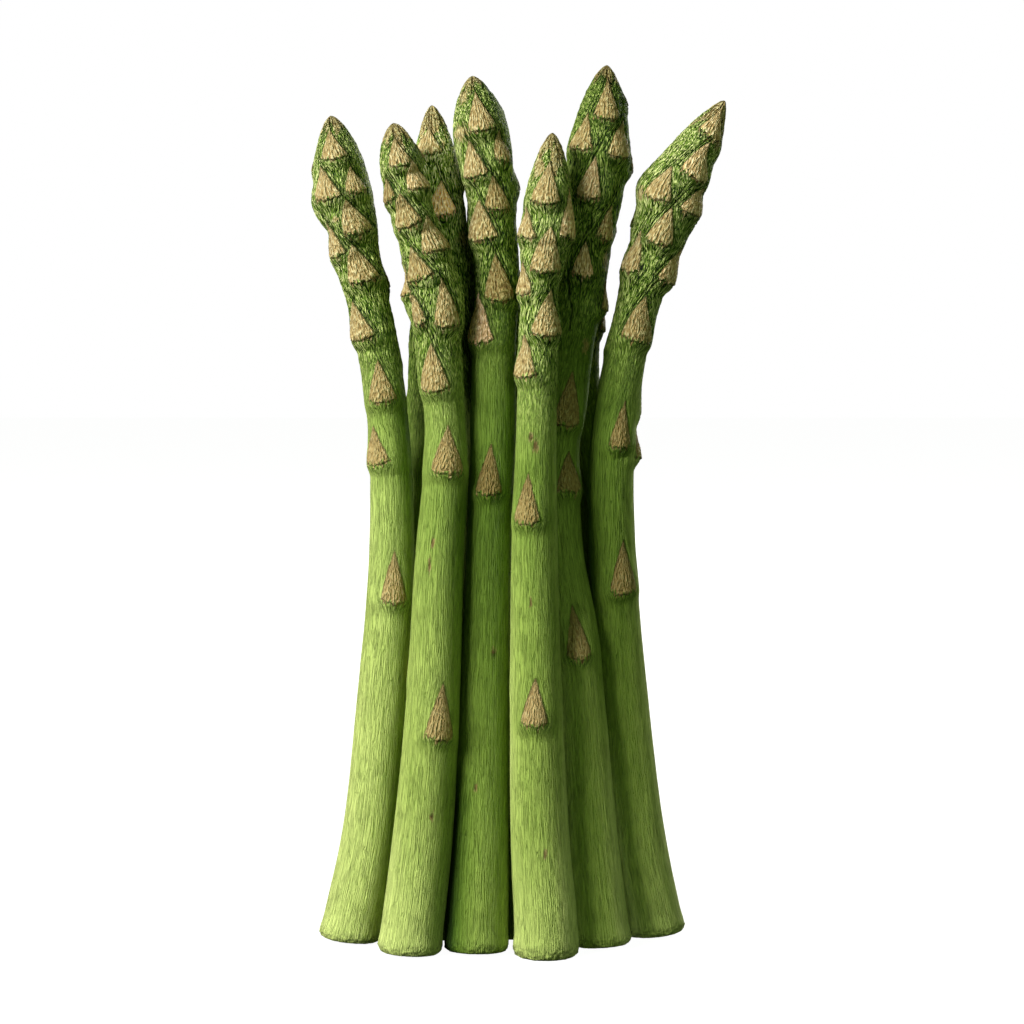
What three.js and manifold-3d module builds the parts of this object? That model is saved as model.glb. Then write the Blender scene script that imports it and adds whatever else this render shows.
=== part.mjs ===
// A bundle of asparagus: ten spears that stand close together on their cut ends.
// Millimetres, +X to the right, +Y to the back, +Z up. The cut ends stand on z = 0.
import * as THREE from 'three';
import { mergeVertices } from 'three/addons/utils/BufferGeometryUtils.js';
import Module from 'manifold-3d';

const wasm = await Module();
wasm.setup();

// How finely the faceted spears are divided
const SIDES = 10;
const FIRST_SIDE = Math.PI / SIDES;
const FIRST_RING = 11;
const STEM_RING_STEP = 16;
const NECK_RING_STEP = 8;
const HEAD_RING_STEP = 4.2;
const NECK_LENGTH = 92;
const HEAD_LENGTH = 62;
const TIP_RINGS = [0.35, 0.65, 0.86, 0.98];
const TIP_FULLNESS = 0.62;
const WELD_DISTANCE = 1e-4;

// The cut foot: how far its rim is rounded in, over what height, and its lean (1 = square cut)
const RIM_INSET = 1.1;
const RIM_HEIGHT = 1.4;
const RIM_STEP = 0.3;
const CUT_TILT = 0.5;

// A scale leaf stands proud of its stem, which swells where the leaf grows out
const SCALE_LIFT = 0.95;
const SCALE_ROOT_DEPTH = 1.3;
const SCALE_OUTLINE = [
  { across: 0, up: 1, lift: 0.1 },
  { across: -0.5, up: 0, lift: 0.5 },
  { across: 0, up: -0.07, lift: 1 },
  { across: 0.5, up: 0, lift: 0.5 },
];
const SWELLING = 1.5;
const SWELLING_ABOVE = 0.9;
const SWELLING_BELOW = 4;
const SWELLING_SPREAD = 0.9;

// Scale leaves on the sides that no list names: a spiral down the spear
const SPIRAL_TURN = 137.5;
const SPIRAL_FIRST = 9;
const SPIRAL_STEP = 2.6;
const SPIRAL_GROWTH = 0.075;
const SPIRAL_END = 150;
const SPIRAL_WANDER = 16;
const SPIRAL_WIDTH = { least: 6.2, more: 1.4 };
const SPIRAL_LENGTH = { least: 5.8, growth: 0.06, most: 12.5 };
const CLEAR_ALONG = 7.5;
const CLEAR_AROUND = 6.2;
const NEIGHBOUR_ROOM = 2.6;
const LISTED_SIDE = -0.3;

// The crown of narrow scales that closes each tip
const CROWN_COUNT = 4;
const CROWN_BASE = 8.5;
const CROWN_LENGTH = 7.6;
const CROWN_WIDTH = 3.6;
const CROWN_LIFT = 0.4;

const SKIN_ROUGHNESS = 0.6;

// course: [height, across, depth, radius] of the middle of the stem, from the cut end up.
// tip: [height, across, depth] of the point; roundness is high for a blunt tip.
// scales: [height of the base, turn from the front in degrees, width, length].
const SPEARS = [
  {
    name: 'spear_01',
    colour: 0xa3bd66,
    course: [
      [0, -43.1, -4, 7.9], [8, -41.4, -3.6, 7.7], [22, -38.5, -3, 7.4], [60, -34.7, -1.2, 6.6],
      [100, -32.3, 0, 5.7], [130, -33.1, 0, 5.2], [152, -36.1, 0, 5.3], [172, -40.6, -0.3, 5.7],
      [185, -43.5, -0.6, 7.1], [191, -44.4, -0.7, 6.7],
    ],
    tip: [207.4, -47.1, -1],
    roundness: 1.6,
    scales: [
      [197, -11, 6, 6.5], [188, -46, 8, 7.5], [188, 33, 6, 6], [178.5, 19, 7.5, 8],
      [174, -53, 6.5, 7], [167, 8, 7.5, 8.5], [152.5, -42, 7.5, 9.5], [136, -4, 6.5, 10],
      [120, -44, 7, 9.5], [86, 11, 6, 12],
    ],
    spiralStart: 100,
  },
  {
    name: 'spear_02',
    colour: 0xa0ba62,
    course: [
      [0, -27.5, -17.8, 7.8], [25, -24.5, -15.2, 7.5], [60, -21.8, -10.7, 6.7], [100, -19.9, -8.2, 6],
      [117, -18.7, -7.1, 5.6], [132, -18.7, -6.9, 5.1], [150, -20.3, -7.1, 5.9],
      [164, -20.9, -7.5, 6.7], [173, -23.5, -7.6, 5.6], [181, -26, -7.7, 5.4], [192, -29, -7.8, 5.2],
    ],
    tip: [204.9, -31.1, -8],
    roundness: 2.3,
    scales: [
      [195.5, -7, 5, 5.2], [189, 35, 7, 6], [187.5, -57, 5.5, 4.5], [181, -22, 7, 7],
      [173, 36, 8, 8], [168, -23, 7, 7.5], [164.5, -74, 5, 6], [157, -36, 4, 8],
      [155.5, 28, 6.5, 10.5], [140, -21, 7, 11], [119, 6, 8, 11.5], [53.5, 19, 7, 12.5],
    ],
    spiralStart: 120,
  },
  {
    name: 'spear_03',
    colour: 0x7f9c48,
    course: [
      [0, -31, 15, 7.5], [60, -27.5, 12.6, 6.3], [116, -24.6, 12.9, 5.5], [146, -23.2, 16.2, 5.5],
      [180, -21.8, 17.8, 6],
    ],
    tip: [200, -23.2, 16.6],
    roundness: 1.5,
    scales: [],
    spiralStart: 40,
  },
  {
    name: 'spear_04',
    colour: 0x86a34d,
    course: [
      [0, -19.2, -1.6, 7.6], [30, -17.8, 2.6, 7.2], [60, -16.3, 5, 6.5], [110, -13.6, 6.8, 5.6],
      [136, -13.7, 6.8, 5.3], [162, -16.5, 5.9, 5.6], [175, -18.2, 5.4, 5.7], [185, -19.8, 4.8, 5.9],
    ],
    tip: [210.4, -22.1, 3],
    roundness: 1.2,
    scales: [
      [199.5, -20, 7, 5.5], [184.5, 4, 6.5, 8],
    ],
    spiralStart: 60,
  },
  {
    name: 'spear_05',
    colour: 0x95b25a,
    course: [
      [0, -10.9, -17, 7.8], [25, -10, -12.4, 7.5], [60, -8.9, -6.5, 6.4], [100, -7.8, -4.4, 5.7],
      [132, -6.6, -3.2, 5.6], [150, -6.5, -2.8, 5.5], [165, -5.8, -2.4, 5.3], [182, -6.9, -2.2, 5.8],
      [190, -7.2, -2.1, 6.7], [202, -9.6, -2.1, 7.1],
    ],
    tip: [217.1, -11.9, -2],
    roundness: 1.45,
    scales: [
      [204, 2, 6.5, 8], [193.5, -38, 8, 7], [195, 39, 5.5, 6.5], [185, 19, 6, 7],
      [177.5, -38, 8, 9], [162, 8, 7.5, 11], [152.5, -46, 8, 10], [113, -8, 6.5, 12.5],
      [189, 112, 6, 6],
    ],
    spiralStart: 150,
  },
  {
    name: 'spear_06',
    colour: 0x809d49,
    course: [
      [0, -2, 0.8, 7.5], [60, -1.8, 6, 6.3], [112, -1.2, 9.5, 5.5], [150, -3.5, 11.2, 5.5],
      [180, -7.6, 12.8, 6],
    ],
    tip: [202, -8.5, 14],
    roundness: 1.5,
    scales: [],
    spiralStart: 200,
  },
  {
    name: 'spear_07',
    colour: 0x9cb75f,
    course: [
      [0, 6.4, -18.4, 8], [5, 6.4, -18.4, 7.9], [25, 5.1, -16, 7.4], [62, 4, -12.4, 6.5],
      [100, 3.6, -9.5, 5.75], [132, 4.1, -8.5, 5], [150, 4.6, -8.2, 5], [165, 5, -8.3, 4.7],
      [176, 6, -8.5, 6], [184, 6.8, -8.6, 6],
    ],
    tip: [202.4, 8, -9],
    roundness: 1.5,
    scales: [
      [185.5, -8, 6.5, 9.5], [177, -56, 7, 6.5], [178, 58, 6.5, 8.5], [170, 11, 7.5, 9.5],
      [163.5, -58, 6, 7], [154, 24, 8, 10], [143, -47, 7.5, 10.5], [107, -20, 6, 11.5],
      [57, -6, 6, 11],
    ],
    spiralStart: 110,
  },
  {
    name: 'spear_08',
    colour: 0x7f9f48,
    course: [
      [0, 20.3, -10, 7.6], [22, 17.9, -7, 7.2], [60, 15.1, -2.8, 6.4], [78, 13.5, -1.3, 6.2],
      [98, 10.2, 0.8, 5.85], [112, 9.5, 1.7, 5.7], [126, 9.6, 2, 5.6], [137, 11.2, 2, 5.8],
      [152, 12.9, 1.9, 6], [166, 15.3, 1.7, 6.4], [176, 16.2, 1.6, 6.6], [186, 18.1, 1.5, 7.3],
      [198, 19.6, 1.3, 7.8],
    ],
    tip: [220.1, 21.7, 1],
    roundness: 1.5,
    scales: [
      [207, 10, 6, 9.5], [200, -44, 8, 7], [199, 38, 7, 7], [188, -5, 6.5, 9],
      [177.5, 36, 6, 8.5], [195, 98, 6, 8], [167.5, 1, 6.5, 8], [131.5, 12, 6, 12.5],
      [114, 31, 6.5, 10], [72, 10, 6, 13], [163, 88, 6, 7],
    ],
    spiralStart: 130,
  },
  {
    name: 'spear_09',
    colour: 0x7c9945,
    course: [
      [0, 22, 18, 7.5], [60, 19, 15.9, 6.3], [112, 17.2, 13.7, 5.5], [150, 15.2, 16, 5.4],
      [180, 17.8, 16.5, 6.4],
    ],
    tip: [204, 20.5, 17],
    roundness: 1.5,
    scales: [],
    spiralStart: 300,
  },
  {
    name: 'spear_10',
    colour: 0x86a44d,
    course: [
      [0, 34.6, 2.6, 7.8], [20, 30.7, 3.2, 7.4], [60, 26.3, 4.6, 6.5], [100, 23.4, 2.6, 5.9],
      [120, 23, 1.6, 5.8], [137, 24.7, 1.2, 5.5], [157, 28.7, 0.8, 5.2], [172, 33.2, 0.4, 6.2],
      [181, 36, 0.1, 7.1], [188, 37.9, -0.1, 7.6],
    ],
    tip: [211.1, 50.9, -1],
    roundness: 1.15,
    scales: [
      [203.5, 7, 5, 7], [195, 22, 7.5, 7], [187, -27, 6.5, 7], [185, 60, 7, 7],
      [176.5, 2, 7, 8], [168, -57, 7, 9], [167.5, 55, 7, 8], [152, 14, 7, 10.5],
      [125, 12, 5.5, 11], [123, 88, 6, 8], [88, 16, 6.5, 12.5],
    ],
    spiralStart: 140,
  },
];

// A seeded random number from 0 to 1, the same on every run
function seededRandom(seed) {
  let state = seed;
  return () => {
    state = (state + 0x6d2b79f5) | 0;
    let mixed = Math.imul(state ^ (state >>> 15), 1 | state);
    mixed = (mixed + Math.imul(mixed ^ (mixed >>> 7), 61 | mixed)) ^ mixed;
    return ((mixed ^ (mixed >>> 14)) >>> 0) / 4294967296;
  };
}

// One column of a course, read off smoothly at a height (cubic through every row)
function smoothColumn(rows, column, height) {
  const last = rows.length - 1;
  const rise = (row) => rows[row + 1][0] - rows[row][0];
  const secant = (row) => (rows[row + 1][column] - rows[row][column]) / rise(row);
  const slope = (row) => {
    if (row === 0) return secant(0);
    if (row === last) return secant(last - 1);
    return (secant(row - 1) * rise(row) + secant(row) * rise(row - 1)) / (rise(row - 1) + rise(row));
  };
  if (height <= rows[0][0]) return rows[0][column] + (height - rows[0][0]) * secant(0);
  let row = 0;
  while (row < last - 1 && height > rows[row + 1][0]) row += 1;
  const span = rise(row);
  const t = Math.min((height - rows[row][0]) / span, 1);
  const bend = t * t * (3 - 2 * t);
  const leave = t * (1 - t) * (1 - t) * span * slope(row);
  const arrive = t * t * (t - 1) * span * slope(row + 1);
  return rows[row][column] + (rows[row + 1][column] - rows[row][column]) * bend + leave + arrive;
}

// The middle of the stem at a height
function middleAt(spear, height) {
  const rows = [...spear.course, [...spear.tip, 0]];
  return new THREE.Vector3(smoothColumn(rows, 1, height), smoothColumn(rows, 2, height), height);
}

// The stem's radius at a height: its course, then a rounded cone to the tip
function radiusAt(spear, height) {
  const [shoulder, , , shoulderRadius] = spear.course.at(-1);
  if (height <= shoulder) return smoothColumn(spear.course, 3, height);
  const way = Math.min((height - shoulder) / (spear.tip[0] - shoulder), 1);
  return shoulderRadius * (1 - way ** spear.roundness) ** TIP_FULLNESS;
}

// How far round a stem two turns lie from each other, in radians
function turnBetween(one, other) {
  return Math.abs(Math.atan2(Math.sin(one - other), Math.cos(one - other)));
}

// How far the stem swells at a point, over the scale leaves that grow near it
function swellingAt(spear, height, turn) {
  let swelling = 0;
  for (const scale of spear.allScales) {
    const above = height - scale.base;
    const reach = above > 0 ? scale.length * SWELLING_ABOVE : SWELLING_BELOW;
    const along = Math.max(0, 1 - Math.abs(above) / reach);
    const around = turnBetween(turn, scale.turn) * scale.stemRadius / (scale.width * SWELLING_SPREAD);
    const rounded = along * along * (3 - 2 * along);
    swelling = Math.max(swelling, scale.swelling * rounded * Math.exp(-around * around));
  }
  return swelling;
}

// The direction that a ring faces: along the stem, or between that and straight up
function facingAt(spear, height, tilt) {
  const along = middleAt(spear, height + 0.5).sub(middleAt(spear, height - 0.5));
  along.x *= tilt;
  along.y *= tilt;
  return along.normalize();
}

// A point at a reach from the middle of the stem, square to it unless tilt is under 1
function pointAround(spear, height, turn, reach, tilt = 1) {
  const along = facingAt(spear, height, tilt);
  const right = new THREE.Vector3(1, 0, 0).addScaledVector(along, -along.x).normalize();
  const back = new THREE.Vector3().crossVectors(along, right);
  return middleAt(spear, height)
    .addScaledVector(right, reach * Math.sin(turn))
    .addScaledVector(back, -reach * Math.cos(turn));
}

// A point on the spear's skin, raised by lift
function skinPoint(spear, height, turn, lift, tilt = 1) {
  const reach = radiusAt(spear, height) + swellingAt(spear, height, turn) + lift;
  return pointAround(spear, height, turn, reach, tilt);
}

// Whether the other spears leave room for a scale leaf and its swelling
function hasRoom(spear, { base, turn, stemRadius }) {
  const outermost = pointAround(spear, base, turn, stemRadius + SWELLING + SCALE_LIFT);
  return SPEARS.every((other) => {
    if (other === spear) return true;
    const middle = middleAt(other, outermost.z);
    const distance = Math.hypot(outermost.x - middle.x, outermost.y - middle.y);
    return distance > radiusAt(other, Math.min(outermost.z, other.tip[0])) + NEIGHBOUR_ROOM;
  });
}

// A scale leaf with its angles in radians and the size of the stem that it grows on
function describeScale(spear, base, turn, width, length) {
  const stemRadius = radiusAt(spear, base);
  return { base, turn, width, length, stemRadius, swelling: SWELLING, lift: SCALE_LIFT };
}

// All scale leaves of a spear: those listed, a spiral on the other sides, and the crown
function placeScales(spear, seed) {
  const random = seededRandom(seed);
  const tipHeight = spear.tip[0];
  const listed = spear.scales.map(([base, degrees, width, length]) => (
    describeScale(spear, base, THREE.MathUtils.degToRad(degrees), width, length)
  ));
  const scales = [...listed];
  let drop = SPIRAL_FIRST;
  let degrees = spear.spiralStart;
  while (drop < SPIRAL_END) {
    const base = tipHeight - drop;
    const turn = THREE.MathUtils.degToRad(degrees + SPIRAL_WANDER * (random() - 0.5));
    const width = SPIRAL_WIDTH.least + SPIRAL_WIDTH.more * random();
    const length = Math.min(SPIRAL_LENGTH.least + SPIRAL_LENGTH.growth * drop, SPIRAL_LENGTH.most);
    const onListedSide = listed.length > 2 && Math.cos(turn) > LISTED_SIDE;
    const crowded = scales.some((other) => (
      Math.abs(other.base - base) < CLEAR_ALONG
      && turnBetween(other.turn, turn) * radiusAt(spear, base) < CLEAR_AROUND
    ));
    const scale = describeScale(spear, base, turn, width, length);
    if (!onListedSide && !crowded && hasRoom(spear, scale)) scales.push(scale);
    drop += SPIRAL_STEP + SPIRAL_GROWTH * drop;
    degrees += SPIRAL_TURN;
  }
  for (let count = 0; count < CROWN_COUNT; count += 1) {
    const turn = THREE.MathUtils.degToRad(spear.spiralStart + (360 * count) / CROWN_COUNT);
    const base = tipHeight - CROWN_BASE;
    const scale = describeScale(spear, base, turn, CROWN_WIDTH, CROWN_LENGTH);
    scales.push({ ...scale, swelling: 0, lift: CROWN_LIFT });
  }
  return scales;
}

// Heights of the rings of facets: close together in the head, wide apart in the stem
function ringHeights(spear) {
  const tipHeight = spear.tip[0];
  const shoulder = spear.course.at(-1)[0];
  const heights = [];
  let height = FIRST_RING;
  while (height < shoulder - HEAD_RING_STEP * 0.5) {
    heights.push(height);
    const drop = tipHeight - height;
    const headStep = drop > HEAD_LENGTH ? NECK_RING_STEP : HEAD_RING_STEP;
    height += drop > NECK_LENGTH ? STEM_RING_STEP : headStep;
  }
  heights.push(shoulder);
  TIP_RINGS.forEach((way) => heights.push(shoulder + (tipHeight - shoulder) * way));
  return heights;
}

// Rings of the cut face and its rounded rim: the cut leans half as far as the stem does,
// and its low edge is on z = 0
function footRings(spear) {
  const facing = facingAt(spear, 0, CUT_TILT);
  const level = Math.hypot(facing.x, facing.y) * (radiusAt(spear, 0) - RIM_INSET);
  return [
    { height: level, lift: -RIM_INSET, tilt: CUT_TILT },
    { height: level + RIM_HEIGHT * RIM_STEP, lift: -RIM_INSET * RIM_STEP, tilt: CUT_TILT },
    { height: level + RIM_HEIGHT, lift: 0, tilt: CUT_TILT },
  ];
}

// A closed geometry as a solid that can be joined to others
function toSolid(geometry) {
  geometry.deleteAttribute('normal');
  geometry.deleteAttribute('uv');
  const merged = mergeVertices(geometry, WELD_DISTANCE);
  return new wasm.Manifold(new wasm.Mesh({
    numProp: 3,
    vertProperties: new Float32Array(merged.attributes.position.array),
    triVerts: new Uint32Array(merged.index.array),
  }));
}

// A joined solid as a geometry again
function toGeometry(solid) {
  const { vertProperties, triVerts } = solid.getMesh();
  const geometry = new THREE.BufferGeometry();
  geometry.setAttribute('position', new THREE.BufferAttribute(vertProperties, 3));
  geometry.setIndex(new THREE.BufferAttribute(triVerts, 1));
  geometry.computeVertexNormals();
  return geometry;
}

// The stem: a closed cylinder whose rings are moved to the spear's skin
function stemSolid(spear) {
  const rings = [
    ...footRings(spear),
    ...ringHeights(spear).map((height) => ({ height, lift: 0, tilt: 1 })),
  ];
  const steps = rings.length - 1;
  const geometry = new THREE.CylinderGeometry(1, 1, steps, SIDES, steps, false, FIRST_SIDE);
  const position = geometry.attributes.position;
  for (let index = 0; index < position.count; index += 1) {
    const ring = rings[Math.round(position.getY(index) + steps / 2)];
    const onAxis = Math.hypot(position.getX(index), position.getZ(index)) < 0.5;
    const turn = Math.atan2(position.getX(index), position.getZ(index));
    const point = onAxis
      ? middleAt(spear, ring.height)
      : skinPoint(spear, ring.height, turn, ring.lift, ring.tilt);
    position.setXYZ(index, point.x, point.y, point.z);
  }
  return toSolid(geometry);
}

// A scale leaf: a pointed blade, flush at its tip and proud at its base, with its root sunk in
function scaleSolid(spear, scale) {
  const place = ({ across, up, lift }, sunk) => {
    const height = scale.base + up * scale.length;
    const turn = scale.turn + (across * scale.width) / scale.stemRadius;
    return skinPoint(spear, height, turn, sunk ? -SCALE_ROOT_DEPTH : lift * scale.lift);
  };
  const outer = SCALE_OUTLINE.map((corner) => place(corner, false));
  const inner = SCALE_OUTLINE.map((corner) => place(corner, true));
  const faces = [[0, 1, 2], [0, 2, 3]];
  const corners = [];
  for (const [a, b, c] of faces) {
    corners.push(outer[a], outer[b], outer[c], inner[a], inner[c], inner[b]);
  }
  outer.forEach((corner, edge) => {
    const next = (edge + 1) % outer.length;
    corners.push(corner, inner[edge], outer[next], outer[next], inner[edge], inner[next]);
  });
  const geometry = new THREE.BufferGeometry().setFromPoints(corners);
  return toSolid(geometry);
}

// One spear: its stem with every scale leaf grown on
function buildSpear(spear, index) {
  spear.allScales = placeScales(spear, index + 1);
  let solid = stemSolid(spear);
  for (const scale of spear.allScales) solid = solid.add(scaleSolid(spear, scale));
  const material = new THREE.MeshStandardMaterial({
    color: spear.colour,
    roughness: SKIN_ROUGHNESS,
    metalness: 0,
  });
  const mesh = new THREE.Mesh(toGeometry(solid), material);
  mesh.name = spear.name;
  return mesh;
}

const bundle = new THREE.Group();
SPEARS.forEach((spear, index) => bundle.add(buildSpear(spear, index)));

export default bundle;
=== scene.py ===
"""A bundle of asparagus on a pale studio floor: fine skins stand for the plain CAD spears."""
import math

import bpy
import numpy as np
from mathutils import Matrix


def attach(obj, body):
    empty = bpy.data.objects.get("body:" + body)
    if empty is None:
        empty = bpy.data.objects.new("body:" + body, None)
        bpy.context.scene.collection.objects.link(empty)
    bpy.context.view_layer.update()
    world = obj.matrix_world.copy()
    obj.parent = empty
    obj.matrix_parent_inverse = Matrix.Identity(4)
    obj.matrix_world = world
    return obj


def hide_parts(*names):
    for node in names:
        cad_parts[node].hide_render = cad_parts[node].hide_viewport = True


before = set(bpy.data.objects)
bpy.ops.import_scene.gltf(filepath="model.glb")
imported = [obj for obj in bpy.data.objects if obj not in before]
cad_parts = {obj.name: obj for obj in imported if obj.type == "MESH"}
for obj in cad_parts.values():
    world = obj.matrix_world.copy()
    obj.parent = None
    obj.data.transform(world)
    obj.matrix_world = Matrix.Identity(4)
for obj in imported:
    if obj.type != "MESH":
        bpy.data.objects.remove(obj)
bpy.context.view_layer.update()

MM = 0.001

# --- driving sizes, in mm
# The stems are the CAD source's. Its scales are finer here.
# course: [height, across, depth, radius] of the middle of the stem.
# tip: [height, across, depth]. roundness: how blunt the tip's cone is.
# scales: [height of the base, turn from the front in degrees, width, length, sideways shift of
# the apex] and, for scales with painted light or painted shade, their brightness.
# groove_hand: the grooved edge of the scales, 1 for the right and -1 for the left.
# spiral_start: where the spiral of small scales starts, in degrees.
# bare: a stretch of the front without those.
SPEARS = {}
SPEARS["spear_01"] = dict(
    course=[
        [0, -43.1, -4, 7.9], [8, -41.4, -3.6, 7.7], [22, -38.5, -3, 7.4], [60, -34.7, -1.2, 6.6],
        [100, -32.3, 0, 5.7], [130, -33.1, 0, 5.2], [152, -36.1, 0, 5.3], [172, -40.6, -0.3, 5.7],
        [185, -43.5, -0.6, 7.1], [191, -44.4, -0.7, 6.7],
    ],
    tip=[207.4, -47.1, -1], roundness=1.6, spiral_start=100,
    scales=[
        [196.9, -4, 6, 7.4, -1], [187.5, -28, 6.6, 8, -1.6], [188, 29, 5.3, 6.2, -0.3],
        [178.2, 19, 7, 8, -1.6], [174, -41, 5, 8, -1], [166.7, 8, 7.1, 8.7, -1], [153, -37, 7.4, 9.2, -0.7],
        [137, -4, 6.1, 9.7, 0.1], [121.5, -33, 6.5, 9.2, -1.1], [86.8, 11, 5.7, 12.4, -0.1],
    ],
)
SPEARS["spear_02"] = dict(
    course=[
        [0, -27.5, -17.8, 7.8], [25, -24.5, -15.2, 7.5], [60, -21.8, -10.7, 6.7], [100, -19.9, -8.2, 6],
        [117, -18.7, -7.1, 5.6], [132, -18.7, -6.9, 5.1], [150, -20.3, -7.1, 5.9], [164, -20.9, -7.5, 6.7],
        [173, -23.5, -7.6, 5.6], [181, -26, -7.7, 5.4], [192, -29, -7.8, 5.2],
    ],
    tip=[204.9, -31.1, -8], roundness=2.3, spiral_start=120,
    scales=[
        [194.5, 5, 5.3, 6.8, -0.9], [188, 40, 6.4, 7, -0.8, 1.3], [187, -48, 4.6, 5.2, -0.3, 0.7],
        [180.4, -16, 6.4, 7.3, 0, 0.8], [173, 35, 7.8, 8.2, -0.2], [167.7, -25, 6.9, 7.6, -0.3, 0.8],
        [164.5, -70, 5, 7.6, 0], [156.3, -34, 3.4, 8.4, -1.8], [155.7, 22, 6, 10.6, -0.5],
        [140, -17, 6.8, 11, 0.2], [119.4, 7, 7.3, 11.2, 0.3], [53.7, 18, 6.5, 13.2, 0.6],
    ],
)
SPEARS["spear_03"] = dict(
    course=[
        [0, -31, 15, 7.5], [60, -27.5, 12.6, 6.3], [116, -24.6, 12.9, 5.5], [146, -23.2, 16.2, 5.5],
        [180, -21.8, 17.8, 6],
    ],
    tip=[200, -23.2, 16.6], roundness=1.5, spiral_start=40, bare=[100, 180],
    scales=[],
)
SPEARS["spear_04"] = dict(
    course=[
        [0, -19.2, -1.6, 7.6], [30, -17.8, 2.6, 7.2], [60, -16.3, 5, 6.5], [110, -13.6, 6.8, 5.6],
        [136, -13.7, 6.8, 5.3], [162, -16.5, 5.9, 5.6], [175, -18.2, 5.4, 5.7], [185, -19.8, 4.8, 5.9],
    ],
    tip=[210.4, -22.1, 3], roundness=2.2, spiral_start=60,
    scales=[
        [199, -20, 6.6, 6, 0.1], [183.8, 2, 6.4, 7.7, 0.8, 3],
    ],
)
SPEARS["spear_05"] = dict(
    course=[
        [0, -10.9, -17, 7.8], [25, -10, -12.4, 7.5], [60, -8.9, -6.5, 6.4], [100, -7.8, -4.4, 5.7],
        [132, -6.6, -3.2, 5.6], [150, -6.5, -2.8, 5.5], [165, -5.8, -2.4, 5.3], [182, -6.9, -2.2, 5.8],
        [190, -7.2, -2.1, 6.7], [202, -9.6, -2.1, 7.1],
    ],
    tip=[217.1, -11.9, -2], roundness=1.6, spiral_start=150,
    scales=[
        [203.5, 5, 6.4, 9.5, -0.3], [192.8, -28, 6.3, 8.5, 0.2], [195.4, 33, 4.5, 7, 0.3, 0.8],
        [184, 14, 5.6, 7.8, -0.9, 0.8], [177.1, -32, 7.9, 9, 0.4], [162, 8, 6.8, 11, -0.7, 0.75],
        [151.5, -43, 8, 12, -0.9, 2], [113.9, -5, 5.7, 11.8, 0.1, 0.88],
    ],
)
SPEARS["spear_06"] = dict(
    course=[
        [0, -2, 0.8, 7.5], [60, -1.8, 6, 6.3], [112, -1.2, 9.5, 5.5], [150, -3.5, 11.2, 5.5],
        [180, -7.6, 12.8, 6],
    ],
    tip=[202, -8.5, 14], roundness=1.5, spiral_start=200,
    scales=[],
)
SPEARS["spear_07"] = dict(
    course=[
        [0, 6.4, -18.4, 8], [5, 6.4, -18.4, 7.9], [25, 5.1, -16, 7.4], [62, 4, -12.4, 6.5],
        [100, 3.6, -9.5, 5.75], [132, 4.1, -8.5, 5], [150, 4.6, -8.2, 5], [165, 5, -8.3, 4.7],
        [176, 6, -8.5, 6], [184, 6.8, -8.6, 6],
    ],
    tip=[202.4, 8, -9], roundness=1.5, groove_hand=-1, spiral_start=110,
    scales=[
        [185.5, -8, 6.6, 10, 0.5], [176.6, -45, 5.7, 7.2, -1.4], [177.9, 61, 6.5, 11.2, 0, 1.6],
        [169, 10, 6.9, 10.5, 0.1], [163.2, -54, 5.6, 7.4, -0.3], [153.4, 24, 7.9, 10.8, 1],
        [143, -40, 6.3, 10, 0], [107, -19, 5.9, 11.6, -0.1], [57.2, -5, 5.9, 11, 0.5, 1.2],
    ],
)
SPEARS["spear_08"] = dict(
    course=[
        [0, 20.3, -10, 7.6], [22, 17.9, -7, 7.2], [60, 15.1, -2.8, 6.4], [78, 13.5, -1.3, 6.2],
        [98, 10.2, 0.8, 5.85], [112, 9.5, 1.7, 5.7], [126, 9.6, 2, 5.6], [137, 11.2, 2, 5.8],
        [152, 12.9, 1.9, 6], [166, 15.3, 1.7, 6.4], [176, 16.2, 1.6, 6.6], [186, 18.1, 1.5, 7.3],
        [198, 19.6, 1.3, 7.8],
    ],
    tip=[220.1, 21.7, 1], roundness=1.5, groove_hand=-1, spiral_start=130,
    scales=[
        [207, 8, 6, 10, 0.1], [198.8, -36, 6.2, 8.7, 0.5], [198, 37, 6.6, 8.6, 1.1, 1.1],
        [187.3, -11, 5.8, 9.5, 0.7, 1.3], [178, 38, 4.7, 8, 0.5], [195, 108, 6, 8, 0],
        [168, 0, 5, 8.3, 0.2, 1.9], [131.5, 12, 6, 12.5, 0], [114, 31, 6.5, 10, 0], [72.5, 6, 5.4, 12.4, 0],
        [160.7, 80, 5, 6.5, 0],
    ],
)
SPEARS["spear_09"] = dict(
    course=[
        [0, 22, 18, 7.5], [60, 19, 15.9, 6.3], [112, 17.2, 13.7, 5.5], [150, 15.2, 16, 5.4],
        [180, 17.8, 16.5, 6.4],
    ],
    tip=[204, 20.5, 17], roundness=1.5, spiral_start=300, bare=[100, 180],
    scales=[],
)
SPEARS["spear_10"] = dict(
    course=[
        [0, 34.6, 2.6, 7.8], [20, 30.7, 3.2, 7.4], [60, 26.3, 4.6, 6.5], [100, 23.4, 2.6, 5.9],
        [120, 23, 1.6, 5.8], [137, 24.7, 1.2, 5.5], [157, 28.7, 0.8, 5.2], [172, 33.2, 0.4, 6.2],
        [181, 36, 0.1, 7.1], [188, 37.9, -0.1, 7.6],
    ],
    tip=[211.1, 50.9, -1], roundness=1.15, groove_hand=-1, spiral_start=140,
    scales=[
        [203.2, 14, 5.2, 7, -0.2, 1.2], [193.9, 25, 7.3, 7.9, -0.4, 1.35], [186.1, -24, 6.2, 7.4, 0],
        [184.8, 52, 8.8, 7.6, 1, 1.35], [176.1, -1, 6.3, 8.3, 0.6], [168, -46, 5.1, 9.6, 0.2],
        [168, 57, 8, 8.6, 1.1, 1.3], [152.5, 19, 7.7, 10.3, -0.7], [125.8, 15, 4.8, 11, 0.3],
        [123, 88, 6, 8, 0], [89.2, 20, 6.3, 12.6, 0.8],
    ],
)
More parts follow.
